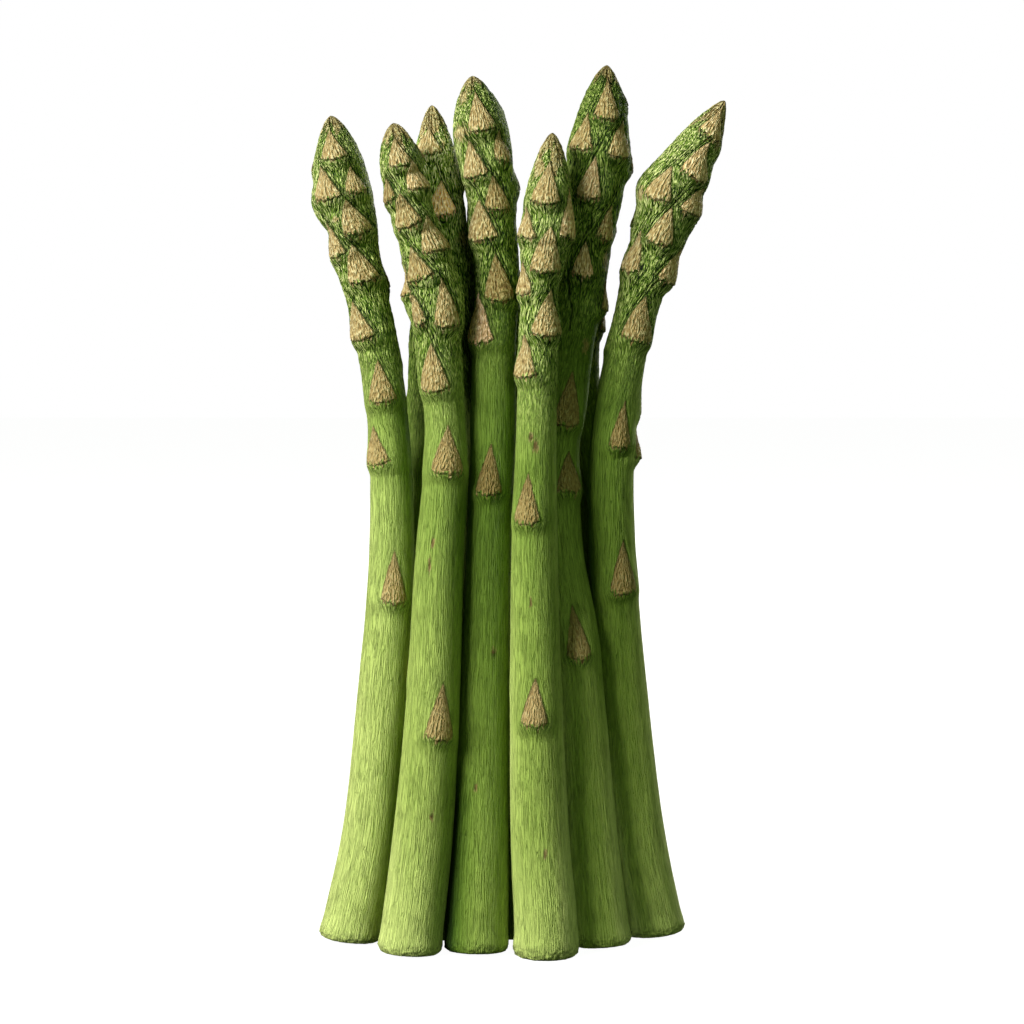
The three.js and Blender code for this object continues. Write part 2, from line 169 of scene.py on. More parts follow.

# Painted shade and light of each spear, as the brightness of its colour by height, set against the photo:
# [height, brightness]
PAINTED_SHADES = {
    "spear_01": [[0, 0.86], [60, 0.86], [112, 0.8], [132, 0.66], [150, 0.82], [170, 0.97]],
    "spear_02": [[0, 0.86], [40, 0.63], [70, 0.7], [110, 0.55], [140, 0.82], [180, 1.05]],
    "spear_03": [[0, 0.5], [200, 0.6]],
    "spear_04": [[0, 0.5], [168, 0.7], [182, 1.5], [197, 1.9], [207, 1]],
    "spear_05": [[0, 0.5], [60, 0.37], [108, 0.27], [138, 0.42], [165, 0.68], [205, 0.98]],
    "spear_06": [[0, 0.5], [200, 0.6]],
    "spear_07": [[0, 0.76], [30, 0.57], [95, 0.52], [120, 0.45], [148, 0.95], [200, 1]],
    "spear_08": [[0, 0.5], [30, 0.46], [70, 0.62], [120, 0.6], [150, 0.44], [185, 0.7]],
    "spear_09": [[0, 0.5], [200, 0.6]],
    "spear_10": [[0, 0.78], [40, 0.52], [85, 0.38], [135, 0.38], [157, 0.76], [200, 1.15]],
}
# Painted light and shade at a spear's left and right edges, as how bright the green is there against its
# middle: [height, left, right]
PAINTED_EDGES = {
    "spear_01": [
        [0, 1.1, 1.2], [12, 1.1, 1], [28, 1.1, 0.5], [50, 1.15, 0.7], [60, 1.15, 1.1], [80, 1, 1],
        [105, 1.2, 1], [116, 1.2, 0.6], [132, 1.3, 0.45], [142, 1.2, 1],
    ],
    "spear_02": [
        [0, 1.1, 1], [22, 1.3, 0.75], [60, 1.1, 0.75], [110, 1.1, 0.6], [120, 0.9, 1], [150, 0.9, 1],
    ],
    "spear_05": [
        [0, -0.2, 1.6], [36, -0.1, 1.1], [48, 1, 1.1], [66, 1.3, 2], [80, 1.2, 2.8], [112, 1.2, 2.6],
        [126, 1, 1.3], [150, 1.2, 0.8],
    ],
    "spear_07": [
        [0, 1.2, 3], [30, 1.3, 2.8], [48, 1.7, 2], [80, 1.5, 1.5], [102, 1.2, 2], [116, 1.2, 2.3],
        [130, 1.1, 1.8], [138, 1, 1],
    ],
    "spear_08": [
        [0, 3, 4], [34, 3.4, 3.4], [54, 3, 1.8], [68, 2.2, 1], [80, 1.3, 1], [120, 1, 0.8], [145, 1, 0.8],
    ],
    "spear_10": [
        [0, 4, 1.5], [30, 4, 2.3], [42, 2.8, 2.8], [54, 1.3, 3.6], [84, 1.2, 4], [92, 0.85, 4],
        [138, 0.7, 4], [150, 0.8, 2.8], [162, 1, 1.6], [180, 1, 1.2],
    ],
}
# The brightest that the painted edge light makes the green
BRIGHTEST_PAINTED_EDGE = 1.1
# Powers of the painted shade for red and blue, so that green painted dark is a deep green
PAINTED_SHADE_RED, PAINTED_SHADE_BLUE = 1.28, 1.9
# How the painted shade acts on the scales: its power, their own brightness, and the yellow tint where
# painted darker
HUSK_PAINTED_SHADE, HUSK_LIGHT, HUSK_YELLOWING = 0.6, 0.93, 0.4
# Scales painted brighter, as painted light, are made less green and more blue
HUSK_LESS_GREEN, HUSK_MORE_BLUE = 0.12, 0.08

# How far down from its point each tip is dry and tan
DRY_TIPS = {
    "spear_01": 2.6, "spear_02": 4, "spear_03": 4, "spear_04": 5.5, "spear_05": 1.8,
    "spear_06": 4, "spear_07": 6, "spear_08": 3, "spear_09": 4, "spear_10": 5,
}
# Low swellings and hollows besides those at the scales: [height, turn, half width, half length, rise]
BULGES = {
    "spear_01": [[187, -95, 6, 5, 1.1], [179.5, -95, 6, 2.6, -1.1], [171.5, -95, 6, 3, 0.7]],
    "spear_02": [[160.5, -90, 6, 4, 1.5]],
    "spear_05": [[193, 95, 5, 3.5, -0.9], [172, 95, 5, 8, 0.6], [133, -80, 4, 8, 0.3]],
    "spear_10": [[188, -95, 7, 4.5, 1.5], [168, -95, 7, 7, 0.7], [198, 90, 6, 8, 0.7]],
}
# Long splits in the skin: [height, turn] from end to end
CUTS = {
    "spear_08": [[172, -26], [167.6, -31], [163, -27], [159, -12], [154, -9]],
}
# Depth of the scales' grooves, where it isn't 1
GROOVE_DEPTH = {"spear_07": 0.4}
# Small dry marks: [height, turn, half width, half length]. Those on the stems are brown.
MARKS_BROWN_BELOW = 150
FLECKS = {
    "spear_01": [[182, -22, 0.8, 0.6]],
    "spear_02": [[101, -17, 0.4, 1.1], [95.5, -21, 0.3, 1.7], [34, 16, 0.4, 0.8]],
    "spear_04": [[176.5, 50, 1.4, 1.5]],
    "spear_05": [[203.3, -44, 1.9, 1.6], [212, -42, 1.3, 1.6], [73.7, 19, 0.5, 0.9], [40, -12, 0.4, 0.8]],
    "spear_07": [[127.5, -16, 0.6, 0.8], [125.5, -2, 0.6, 1.2], [86.6, -10, 0.3, 0.9], [25, 8, 0.4, 0.9]],
    "spear_08": [[172, 62, 0.9, 2], [150.5, 40, 0.9, 1.4]],
    "spear_10": [[186, -60, 1, 1]],
}

# --- form of the skin, in mm
# Ends of a spear: the rounded cone of its tip, and the cut foot with its rounded rim
TIP_FULLNESS = 0.62
RIM_INSET, RIM_HEIGHT = 1.1, 1.6
FOOT_HEIGHT = 4.5
CUT_TILT, CUT_TILT_REACH = 0.5, (3, 14)
# Swelling of the stem under a scale leaf, and how it fades above, below and around it
SWELLING, SPIRAL_SWELLING = 1.6, 1.0
SWELLING_HOLD = 0.7
SWELLING_ABOVE, SWELLING_BELOW, SWELLING_SPREAD = 0.9, 3.6, 0.85
# Spiral of small scales down from the tip, where no scales are listed and there is room
SPIRAL_TURN, SPIRAL_WANDER = 137.5, 16
SPIRAL_FIRST, SPIRAL_END = 9, 150
SPIRAL_STEP, SPIRAL_GROWTH = 2.6, 0.075
SPIRAL_WIDTH, SPIRAL_WIDENING = 6.2, 1.4
SPIRAL_LENGTH, SPIRAL_LENGTHENING, SPIRAL_LONGEST = 5.8, 0.06, 12.5
CLEAR_ALONG, CLEAR_AROUND = 7.5, 6.2
NEIGHBOUR_ROOM, SCALE_STANDS_OUT = 2.6, 2.45
LISTED_SIDE = -0.3
# A scale leaf: how far it lifts off the stem, the sag and teeth of its base, and its left bulge
SCALE_LIFT = 0.32
SCALE_SAG, TOOTH_LENGTH, TOOTH_WIDTH = 0.09, 0.7, 0.7
LEFT_BELLY = 0.4
SLANT = 0.93
EDGE_SOFTNESS = 0.13
FURROW_DEPTH, GRIT_HEIGHT = 0.09, 0.07
MARGIN_DEPTH, STEP_DEPTH = 0.175, 0.15
# The double groove along one edge of each scale, which runs on past the apex in the head.
FIRST_GROOVE, SECOND_GROOVE, GROOVE_WIDTH = 0.25, 0.95, 0.24
GROOVE_SPAN, GROOVE_SINKS = 7, 0.28
# Too far from a leaf or groove to show it
FAR = 2.0
# The head, with its wrinkles, fades into the smooth stem between these distances from the tip
HEAD_WHOLE, HEAD_END = 48, 86
WRINKLE_DEPTH, WRINKLE_HEIGHT, WAVE_HEIGHT, STREAK_DEPTH = 0.14, 0.06, 0.03, 0.08
SPLIT_WIDTH, SPLIT_REACH, SPLIT_DEPTH = 0.3, 0.4, 0.3
STRAND_DEPTH = 0.32
# Rings and warts at the cut foot, and its slight flare
RING_HEIGHT, WART_HEIGHT, RING_DEPTH = 0.18, 0.15, 0.16
FLARE, FLARE_MIDDLE, FLARE_REACH = 0.28, 2.6, 2
# How dark the painted shade in the low places is, from 0 to 1. FLECK_DARK sets the brown of the dry flecks
# on the stems instead.
FURROW_DARK, STEP_DARK, HOLLOW_DARK, SHADOW_DARK = 0.4, 0.1, 0.65, 0.55
STRAND_DARK, WRINKLE_DARK, STREAK_DARK, RING_DARK, FLECK_DARK = 0.9, 0.25, 0.22, 0.7, 1.3
# Mesh: points round a spear, how much closer they stand in front, and steps between the rows
SEEN_MESH = 132, 0.42, (0.27, 0.42, 0.95)
HIDDEN_MESH = 80, -0.3, (0.5, 0.75, 1.5)
FINE_TO, MEDIUM_TO = 62, 92
HIDDEN = {"spear_03", "spear_06", "spear_09"}


# --- course of a spear
def seeded_random(seed):
    """The CAD source's seeded draws from 0 to 1, the same on every run"""
    whole = 0xFFFFFFFF
    state = seed
    while True:
        state = (state + 0x6D2B79F5) & whole
        mixed = ((state ^ (state >> 15)) * (1 | state)) & whole
        added = ((mixed ^ (mixed >> 7)) * (61 | mixed)) & whole
        mixed = ((mixed + added) & whole) ^ mixed
        yield (mixed ^ (mixed >> 14)) / 4294967296


def smooth_column(rows, column, heights):
    """One column of a course read off smoothly at heights (cubic through every row)"""
    rows = np.array(rows, float)
    at, value = rows[:, 0], rows[:, column]
    rise = np.diff(at)
    secant = np.diff(value) / rise
    slope = np.empty(len(at))
    slope[0], slope[-1] = secant[0], secant[-1]
    slope[1:-1] = (secant[:-1] * rise[1:] + secant[1:] * rise[:-1]) / (rise[1:] + rise[:-1])
    heights = np.asarray(heights, float)
    row = np.clip(np.searchsorted(at, heights) - 1, 0, len(at) - 2)
    span = rise[row]
    t = np.minimum((heights - at[row]) / span, 1)
    bend = t * t * (3 - 2 * t)
    curve = value[row] + (value[row + 1] - value[row]) * bend
    curve = curve + t * (1 - t) ** 2 * span * slope[row] + t * t * (t - 1) * span * slope[row + 1]
    return np.where(heights <= at[0], value[0] + (heights - at[0]) * secant[0], curve)


def middle_at(spear, heights):
    """Middle of the stem at heights, as an array of points"""
    rows = spear["course"] + [spear["tip"] + [0]]
    return np.stack([smooth_column(rows, 1, heights), smooth_column(rows, 2, heights), heights], -1)


def radius_at(spear, heights):
    """The stem's radius at heights: its course, then a rounded cone to the tip"""
    shoulder, _, _, shoulder_radius = spear["course"][-1]
    way = np.clip((heights - shoulder) / (spear["tip"][0] - shoulder), 0, 1)
    cone = shoulder_radius * (1 - way ** spear["roundness"]) ** TIP_FULLNESS
    return np.where(heights <= shoulder, smooth_column(spear["course"], 3, heights), cone)


def direction_at(spear, heights, tilts):
    """Directions along the stem where tilts are 1, and upright where they are 0"""
    along = middle_at(spear, heights + 0.5) - middle_at(spear, heights - 0.5)
    along[:, :2] *= tilts[:, None]
    return along / np.linalg.norm(along, axis=1)[:, None]


def ring_frame(spear, heights, tilts):
    """Centre, rightward and backward directions of rings, square to the stem where tilts are 1"""
    along = direction_at(spear, heights, tilts)
    right = np.array([1.0, 0, 0]) - along * along[:, :1]
    right /= np.linalg.norm(right, axis=1)[:, None]
    return middle_at(spear, heights), right, np.cross(along, right)


def turn_from(turn, other):
    """Signed turn from one direction to another, in radians"""
    return np.arctan2(np.sin(turn - other), np.cos(turn - other))


# --- scale leaves
def half_width(scale, t):
    """Half the width of a scale leaf from its base (t = 0) to its apex (t = 1)"""
    return scale["width"] / 2 * (1 - t) * (1 + 0.26 * t)


def describe_scale(spear, base, turn, width, length, skew=0, light=1, rise=SWELLING):
    """A scale leaf with the stem's radius at its base"""
    shape = dict(base=base, turn=turn, width=width, length=length, skew=skew)
    return dict(shape, radius=float(radius_at(spear, base)), light=light, rise=rise)


def has_room(name, scale):
    """Whether a scale leaf keeps clear of the other spears"""
    reach = scale["radius"] + SCALE_STANDS_OUT
    centre, right, back = ring_frame(SPEARS[name], np.array([scale["base"]]), np.array([1.0]))
    point = (centre + right * reach * math.sin(scale["turn"]) - back * reach * math.cos(scale["turn"]))[0]
    for other in SPEARS.values():
        if other is SPEARS[name]:
            continue
        middle = middle_at(other, point[2])
        distance = math.hypot(point[0] - middle[0], point[1] - middle[1])
        if distance <= radius_at(other, min(point[2], other["tip"][0])) + NEIGHBOUR_ROOM:
            return False
    return True


def place_scales(name, seed):
    """All scale leaves of a spear: those listed and a spiral on the other sides"""
    spear = SPEARS[name]
    random = seeded_random(seed)
    low, high = spear.get("bare", [0, 0])
    scales = [describe_scale(spear, row[0], math.radians(row[1]), *row[2:]) for row in spear["scales"]]
    drop = SPIRAL_FIRST
    degrees = spear["spiral_start"]
    while drop < SPIRAL_END:
        base = spear["tip"][0] - drop
        turn = math.radians(degrees + SPIRAL_WANDER * (next(random) - 0.5))
        width = SPIRAL_WIDTH + SPIRAL_WIDENING * next(random)
        length = min(SPIRAL_LENGTH + SPIRAL_LENGTHENING * drop, SPIRAL_LONGEST)
        scale = describe_scale(spear, base, turn, width, length, rise=SPIRAL_SWELLING)
        on_listed_side = len(spear["scales"]) > 2 and math.cos(turn) > LISTED_SIDE
        on_bare = low < base < high and math.cos(turn) > 0
        crowded = any(
            abs(other["base"] - base) < CLEAR_ALONG
            and abs(turn_from(other["turn"], turn)) * scale["radius"] < CLEAR_AROUND
            for other in scales
        )
        if not (on_listed_side or on_bare or crowded) and has_room(name, scale):
            scales.append(scale)
        drop += SPIRAL_STEP + SPIRAL_GROWTH * drop
        degrees += SPIRAL_TURN
    return scales


# --- repeatable noise
GRADIENTS = np.array([
    [1, 1, 0], [-1, 1, 0], [1, -1, 0], [-1, -1, 0], [1, 0, 1], [-1, 0, 1], [1, 0, -1], [-1, 0, -1],
    [0, 1, 1], [0, -1, 1], [0, 1, -1], [0, -1, -1], [1, 1, 0], [-1, 1, 0], [0, -1, 1], [0, -1, -1],
])


def noise(x, y, z, seed):
    """Smooth noise from about -1 to 1 (gradient noise), the same on every run"""
    axes = np.broadcast_arrays(x, y, z)
    cells = [np.floor(axis).astype(np.int64) for axis in axes]
    parts = [axis - cell for axis, cell in zip(axes, cells)]
    fades = [part ** 3 * (part * (part * 6 - 15) + 10) for part in parts]
    total = 0
    for corner in range(8):
        steps = [corner & 1, (corner >> 1) & 1, (corner >> 2) & 1]
        cell = [c + s for c, s in zip(cells, steps)]
        mixed = cell[0] * 374761393 + cell[1] * 668265263 + cell[2] * 1440662683 + seed * 1274126177
        mixed &= 0xFFFFFFFF
        mixed = ((mixed ^ (mixed >> 13)) * 1103515245) & 0xFFFFFFFF
        mixed = ((mixed ^ (mixed >> 16)) * 668265263) & 0xFFFFFFFF
        gradient = GRADIENTS[(mixed >> 20) & 15]
        reach = sum(gradient[..., i] * (parts[i] - steps[i]) for i in range(3))
        weight = 1
        for fade, step in zip(fades, steps):
            weight = weight * (fade if step else 1 - fade)
        total = total + weight * reach
    return total


def smooth_step(low, high, value):
    """0 below low, 1 above high, and a smooth rise between"""
    t = np.clip((value - low) / (high - low), 0, 1)
    return t * t * (3 - 2 * t)


def bump_at(value, middle, width):
    """1 where the value is at its middle, fading out to both sides"""
    return np.exp(-(((value - middle) / width) ** 2))


def cracks(value, width):
    """Narrow valleys where a noise crosses zero"""
    return bump_at(value, 0, width)


# --- relief of the skin
# The layers of a skin that the material reads as they are
MASKS = "leaf_side", "leaf_edge", "leaf_light", "margin", "margin_on", "dry", "crease", "rib", "rough"


class Skin:
    """Relief, flow of the fibres and colour masks of one spear, on rows of heights by turns"""

    def __init__(self, name, seed, scales, heights, turns):
        self.name, self.seed, self.scales, self.heights = name, seed, scales, heights
        self.spear = SPEARS[name]
        self.h, self.turn = np.meshgrid(heights, turns, indexing="ij")
        self.radius = radius_at(self.spear, heights)[:, None]
        self.drop = self.spear["tip"][0] - self.h
        self.head = 1 - smooth_step(HEAD_WHOLE, HEAD_END, self.drop)
        self.swelling, self.relief, self.crease, self.unrest, self.grain_along, self.margin_on = (
            np.zeros_like(self.h) for _ in range(6)
        )
        self.leaf, self.leaf_side, self.leaf_edge = (np.full_like(self.h, -FAR) for _ in range(3))
        self.leaf_light = np.ones_like(self.h)
        self.margin = np.full_like(self.h, FAR)

        self.swell()
        for count, scale in enumerate(scales):
            self.add_leaf(count, scale)
        self.on_leaf = smooth_step(-EDGE_SOFTNESS, EDGE_SOFTNESS, self.leaf)
        self.sink_grooves()
        self.split()
        self.dry_tip()
        self.wrinkle()
        self.roughen_foot()
        for layer in (self.leaf_side, self.leaf_edge, self.margin):
            np.clip(layer, -FAR, FAR, out=layer)

    def noise(self, x, y, z, layer):
        """Noise of this spear. Each layer is a pattern of its own."""
        return noise(x, y, z, self.seed + layer)

    def spot(self, height, degrees, half_width, half_length):
        """A soft spot on the stem, 1 at its middle"""
        across = turn_from(self.turn, math.radians(degrees)) * self.radius / half_width
        along = (self.h - height) / half_length
        return np.exp(-(across ** 2) - along ** 2)

    def put(self, rows, chosen, **layers):
        """New values for layers at the chosen points of rows"""
        for label, values in layers.items():
            layer = getattr(self, label)
            layer[rows] = np.where(chosen, values, layer[rows])

    def darken(self, amount, rows=slice(None)):
        """Paints shade into the creases at least this dark; the brown of dry flecks uses it too"""
        self.crease[rows] = np.maximum(self.crease[rows], amount)

    def swell(self):
        """Swelling of the stem at each scale, and the bend of the fibres round it"""
        bend = np.zeros_like(self.h)
        for scale in self.scales:
            above = self.h - scale["base"]
            u = turn_from(self.turn, scale["turn"]) * scale["radius"]
            raised = above + SWELLING_HOLD
            reach = np.where(raised > 0, scale["length"] * SWELLING_ABOVE + SWELLING_HOLD, SWELLING_BELOW)
            along = np.maximum(0, 1 - np.abs(raised) / reach)
            rounded = along * along * (3 - 2 * along)
            around = u / (scale["width"] * SWELLING_SPREAD)
            self.swelling = np.maximum(self.swelling, scale["rise"] * rounded * np.exp(-around * around))
            t = np.clip(above / scale["length"], 0, 1)
            half = half_width(scale, t) * np.exp(np.minimum(above, 0) / 1.1)
            bend -= half * np.tanh(u / (1.6 * half + 0.4)) * bump_at(u, 0, 4)
        flow = self.turn + bend / np.maximum(self.radius, 3)
        self.x = np.maximum(self.radius, 1.2) * np.sin(flow)
        self.y = np.maximum(self.radius, 1.2) * np.cos(flow)
        self.sway = self.noise(self.x / 4, self.y / 4, self.h / 9, 11)
        for height, degrees, across, along, rise in BULGES.get(self.name, []):
            self.swelling += rise * self.spot(height, degrees, across, along)

    def add_leaf(self, count, scale):
        """One scale leaf, measured by u across it and v up from its base"""
        length, width = scale["length"], scale["width"]
        rows = (self.heights > scale["base"] - 4) & (self.heights < scale["base"] + length + 9)
        if not rows.any():
            return
        v = self.h[rows] - scale["base"]
        t = np.clip(v / length, 0, 1)
        u = turn_from(self.turn[rows], scale["turn"]) * scale["radius"] - scale["skew"] * t
        half = half_width(scale, t)

        # how far each point is inside the leaf's sides and its toothed base
        teeth = TOOTH_LENGTH * self.noise(u / TOOTH_WIDTH, v * 0.12, count * 3.7 + self.seed, 1)
        low = -SCALE_SAG * length * (1 - (2 * u / width) ** 2) + teeth
        wavy = 0.14 * self.noise(u * 0.2, v / 0.9, count * 5.1, 3)
        side = (half * np.where(u > 0, 1, 1 + LEFT_BELLY * t) + wavy - np.abs(u)) * SLANT
        side = np.where(v > length, -np.hypot(u, v - length), side)
        edge = v - low
        inside = np.minimum(side, edge)
        nearest = inside > self.leaf[rows]
        # with the nearest leaf's painted light or shade
        self.put(rows, nearest, leaf=inside, leaf_side=side, leaf_edge=edge, leaf_light=scale["light"])

        # the blade lifts off the stem, with a grain that fans out from its apex
        blade = smooth_step(-EDGE_SOFTNESS, EDGE_SOFTNESS, inside)
        crown = np.clip(1 - (np.abs(u) / np.maximum(half, 0.3)) ** 2, 0, 1)
        lift = SCALE_LIFT * (1 - t) ** 0.75 * (0.35 + 0.65 * crown)
        fan = u / (half + 0.9)
        grain = self.noise(fan * 4.6, v / 1.9, count * 2.3, 4)
        fine_grain = self.noise(u / 0.55, v / 0.8, count * 4.1, 5)
        furrow = np.maximum(cracks(grain, 0.2), 0.8 * cracks(fine_grain, 0.22))
        blade_relief = lift - FURROW_DEPTH * furrow + GRIT_HEIGHT * fine_grain
        bare = 1 - blade
        self.relief[rows] = self.relief[rows] * bare + blade_relief * blade
        # painted shade in the furrows of the blade
        self.crease[rows] = self.crease[rows] * bare + FURROW_DARK * furrow * blade
        self.put(rows, blade > 0.5, grain_along=0.5 * u + 1.6 * fan)

        # where the double groove runs
        hand = self.spear.get("groove_hand", 1)
        beyond = v - length
        slope = (hand * scale["skew"] - width / 2) / length
        off = np.where(beyond > 0, hand * u - slope * beyond, hand * u - half) * 0.92
        head = self.head[rows]
        fade = smooth_step(-0.6, 0.2, v) * (1 - smooth_step(GROOVE_SPAN - 3, GROOVE_SPAN, beyond))
        fade = fade * np.where(beyond > 0, head ** 2, 0.15 + 0.85 * head)
        fade = fade * (1 - smooth_step(1.3, 1.7, np.abs(off - 0.3)))
        self.put(rows, fade > self.margin_on[rows], margin=off, margin_on=fade)

        # the skin sinks at the other edge and under the base, with painted shade on the step and in the
        # hollow under the base, and a painted shadow beside the leaf
        near = (v > -1.0) & (v < length + 0.3)
        other_edge = bump_at(side, -0.28, 0.24) * near * (hand * u < 0)
        step = bump_at(edge, -0.25, 0.26) * smooth_step(-0.7, 0.2, side)
        self.relief[rows] -= (MARGIN_DEPTH * other_edge + STEP_DEPTH * step) * bare
        self.darken(STEP_DARK * step * bare, rows)
        hollow = smooth_step(-3.4, -0.1, edge) * smooth_step(-0.9, 0.3, side)
        shadow = bump_at(side, -0.45, 0.55) * near * (u > 0)
        self.darken(np.maximum(HOLLOW_DARK * hollow, SHADOW_DARK * shadow) * head * bare, rows)
        below = np.exp(-np.abs(edge + 1.0) / 1.2) * smooth_step(-1.5, 0.3, side) * (edge < 0)
        self.unrest[rows] = np.maximum(self.unrest[rows], below)

    def sink_grooves(self):
        """The double grooves of all scale leaves"""
        self.margin_on *= (1 - self.on_leaf) * GROOVE_DEPTH.get(self.name, 1)
        grooves = bump_at(self.margin, FIRST_GROOVE, GROOVE_WIDTH)
        grooves += 0.8 * bump_at(self.margin, SECOND_GROOVE, GROOVE_WIDTH)
        self.relief -= GROOVE_SINKS * grooves * self.margin_on

    def split(self):
        """Long splits in the skin, from one listed place to the next"""
        cut = CUTS.get(self.name, [])
        for (low, first), (high, second) in zip(cut, cut[1:]):
            way = np.clip((self.h - low) / (high - low), 0, 1)
            turn = math.radians(first) + way * math.radians(second - first)
            across = turn_from(self.turn, turn) * self.radius / SPLIT_WIDTH
            along = (self.h - low - way * (high - low)) / SPLIT_REACH
            gap = np.exp(-(across ** 2) - along ** 2)
            self.relief -= SPLIT_DEPTH * gap
            # painted shade in the split
            self.darken(gap)

    def dry_tip(self):
        """Strands that run together at the tip, dry and tan towards the point, and dry flecks"""
        sin, cos = np.sin(self.turn), np.cos(self.turn)
        tipward = 1 - smooth_step(3, 11, self.drop)
        strand = self.noise(2.8 * sin, 2.8 * cos, self.drop / 6 + self.seed * 1.3, 21)
        gaps = cracks(strand, 0.11) * tipward * (1 - self.on_leaf)
        self.relief -= STRAND_DEPTH * gaps * np.clip(self.radius / 3, 0.2, 1)
        # painted shade in the gaps between the strands
        self.darken(STRAND_DARK * gaps)
        blush = self.noise(2 * sin, 2 * cos, self.drop / 5 + self.seed * 2.1, 22)
        reach = DRY_TIPS[self.name] * (1 + 1.5 * blush)
        self.dry = np.clip((reach - self.drop) / 3 + 0.5, 0, 1)
        self.dry = np.maximum(self.dry, 1 - smooth_step(0.6, 2.4, self.drop))
        for height, degrees, across, along in FLECKS.get(self.name, []):
            mark = self.spot(height, degrees, across, along)
            self.dry = np.maximum(self.dry, 0.95 * mark)
            if height < MARKS_BROWN_BELOW:
                self.darken(np.minimum(FLECK_DARK * mark, 1))

    def wrinkle(self):
        """Wrinkles of the head and streaks of the stem"""
        green = 1 - smooth_step(0.3, 0.9, self.on_leaf)
        x, y = self.x + 0.5 * self.sway, self.y + 0.5 * self.sway
        first = self.noise(x / 0.7, y / 0.7, self.h / 2.2, 31)
        second = self.noise(x / 1.3, y / 1.3, self.h / 3.2, 32)
        wave = self.noise(self.x / 2.2, self.y / 2.2, self.h / 7, 33)
        self.rough = np.maximum(self.head, 0.7 * self.unrest)
        folds = self.rough * np.maximum(cracks(first, 0.26), 0.8 * cracks(second, 0.17))
        wrinkles = WRINKLE_HEIGHT * self.rough * first - WRINKLE_DEPTH * folds
        self.relief += (wrinkles + WAVE_HEIGHT * wave) * green
        # painted shade in the folds
        self.darken(WRINKLE_DARK * folds * green)
        streak = self.noise(x / 0.6, y / 0.6, self.h / 5, 34)
        patch = smooth_step(-0.3, 0.5, self.noise(self.x / 3, self.y / 3, self.h / 14, 35))
        streaks = np.maximum(0.5 * cracks(streak, 0.2) * patch, smooth_step(0.28, 0.5, streak))
        self.relief -= STREAK_DEPTH * streaks * (1 - self.head) * green
        # painted shade in the sunken streaks
        self.darken(STREAK_DARK * streaks * (1 - 0.6 * self.head) * green)
        rib = 0.5 + 0.35 * first * self.rough + 0.2 * streak * (1 - self.rough) + 0.2 * wave
        self.rib = np.clip(rib, 0, 1)

    def roughen_foot(self):
        """Rings of wrinkles at the cut foot, and its slight flare"""
        foot = 1 - smooth_step(1.6, 4.2, self.h + 0.9 * self.sway)
        rings = self.noise(self.x / 2.6, self.y / 2.6, self.h / 0.8, 41)
        warts = self.noise(self.x / 0.9, self.y / 0.9, self.h / 0.7, 42)
        gaps = cracks(rings, 0.16)
        self.relief += foot * (RING_HEIGHT * rings + WART_HEIGHT * warts - RING_DEPTH * gaps)
        self.relief += FLARE * bump_at(self.h, FLARE_MIDDLE, FLARE_REACH)
        # painted shade in the gaps between the rings and around the low warts
        self.darken(foot * RING_DARK * np.maximum(gaps, 0.7 * smooth_step(0.1, 0.4, -warts)))

    def places(self):
        """Places for the material's patterns: along the bent fibres, and square to the stem"""
        leafy = self.on_leaf > 0.5
        return dict(
            straight=(np.where(leafy, self.grain_along, self.x), np.where(leafy, 0, self.y)),
            around=(self.radius * np.sin(self.turn), self.radius * np.cos(self.turn)),
        )


# --- mesh of a spear
def row_heights(spear, scales, steps):
    """Heights of the mesh rows: close together in the head and at the base of each scale"""
    tip_height = spear["tip"][0]
    bases = [scale["base"] for scale in scales if abs(scale["turn"]) < 1.7]
    heights = []
    height = 0.25
    while height < tip_height - 1.2:
        heights.append(height)
        drop = tip_height - height
        step = steps[0] if drop < FINE_TO else steps[1] if drop < MEDIUM_TO else steps[2]
        if height < FOOT_HEIGHT or any(-2.2 < height - base < 1.2 for base in bases):
            step = steps[0]
        height += step
    for way in (0.2, 0.38, 0.54, 0.68, 0.8, 0.9, 0.96, 0.99):
        heights.append(height + (tip_height - height) * way)
    return np.array(heights)


def cut_level(spear):
    """Height of the cut face's middle, at which the low side of the tilted cut is on the floor"""
    along = direction_at(spear, np.zeros(1), np.array([CUT_TILT]))[0]
    return math.hypot(along[0], along[1]) * (radius_at(spear, 0) - RIM_INSET)


def painted_shade_at(name, heights, turns):
    """Painted shade and light on the green: its brightness by height, and at the edges that the spear shows
    to the front
    """
    shades = np.array(PAINTED_SHADES[name], float)
    edges = np.array(PAINTED_EDGES.get(name, [[0, 1, 1]]), float)
    plain = np.interp(heights, shades[:, 0], shades[:, 1])[:, None]
    # painted light or shade on the left and right edges that face the front
    left, right = (np.interp(heights, edges[:, 0], edges[:, side])[:, None] - 1 for side in (1, 2))
    sides = np.sin(turns) * smooth_step(-0.6, 0, np.cos(turns))
    gain = np.where(sides < 0, left, right)
    gain = gain * np.abs(sides) ** np.where(gain > 0, 3.0, 1.3)
    return np.clip(plain * (1 + gain), 0.05, np.maximum(plain, BRIGHTEST_PAINTED_EDGE))


def unwrap(mesh, rows, columns):
    """An even unwrapping: columns across, rows up"""
    across = np.arange(columns + 1) / columns
    left, right = across[:-1], across[1:]
    middle = (left + right) / 2
    up = 0.02 + 0.96 * np.arange(rows)[:, None] / (rows - 1)

    def corners(*places):
        each = [np.stack(np.broadcast_arrays(*place), -1) for place in places]
        return np.stack(each, -2).ravel()

    quads = corners((left, up[:-1]), (right, up[:-1]), (right, up[1:]), (left, up[1:]))
    foot_fan = corners((middle, 0), (right, up[0]), (left, up[0]))
    tip_fan = corners((left, up[-1]), (right, up[-1]), (middle, 1))
    layer = mesh.uv_layers.new(name="OFBake")
    layer.data.foreach_set("uv", np.concatenate([quads, foot_fan, tip_fan]))


def add_object(label, data):
    """A new object in the scene"""
    added = bpy.data.objects.new(label, data)
    bpy.context.scene.collection.objects.link(added)
    return added


